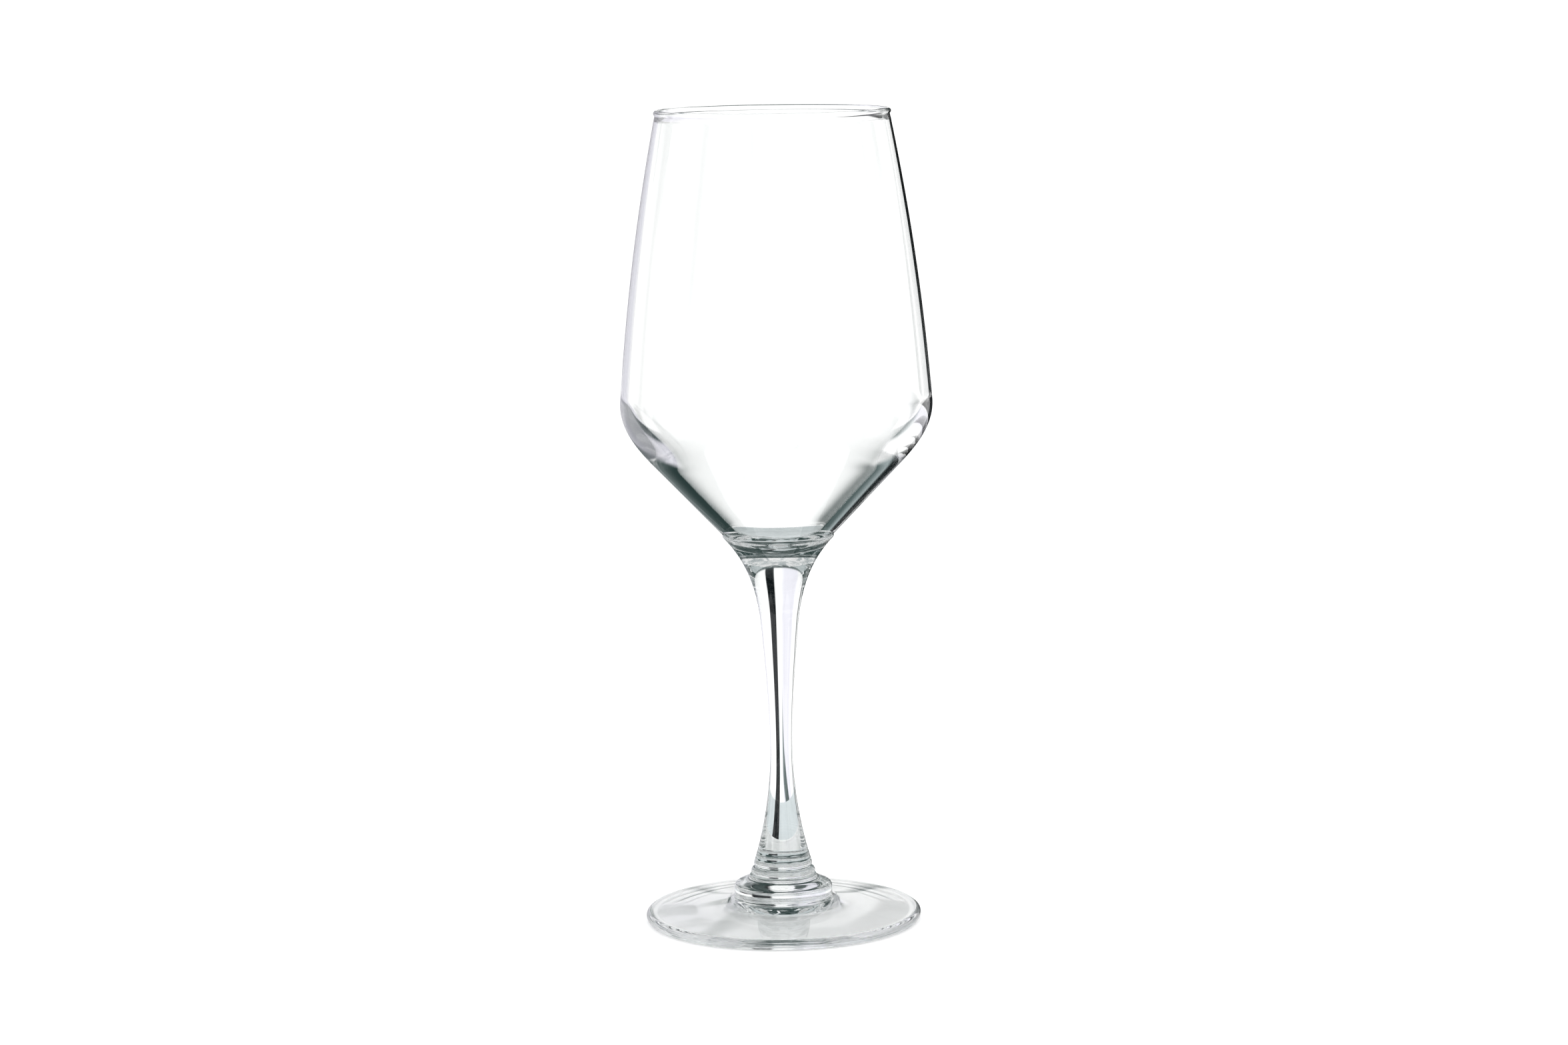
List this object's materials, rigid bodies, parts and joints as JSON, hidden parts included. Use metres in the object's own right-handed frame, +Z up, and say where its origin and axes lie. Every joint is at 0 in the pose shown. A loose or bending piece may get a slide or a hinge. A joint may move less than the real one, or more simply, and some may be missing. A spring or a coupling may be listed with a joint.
{
  "type": "wine glass",
  "caption": "Stemmed wine glass with a tall tapering bowl over a conical base, a drawn waisted stem, a ringed collar and a round foot, for serving and drinking wine.",
  "frame": {"origin": "centre of the foot's contact ring, on the surface that the glass stands on", "axes": "+Z up along the axis of the stem and bowl, towards the rim; X and Y are any two horizontal directions, since the glass is round"},
  "size_m": [0.0856, 0.0856, 0.225],
  "materials": {
    "bowl_glass": "fire-polished clear soda-lime glass",
    "stem_glass": "fire-polished clear soda-lime glass, drawn",
    "collar_glass": "fire-polished clear soda-lime glass, pressed",
    "foot_glass": "fire-polished clear soda-lime glass, pressed"
  },
  "bodies": {
    "root": {"bowl": "bowl_glass", "stem": "stem_glass", "collar": "collar_glass", "foot": "foot_glass"}
  },
  "joints": []
}
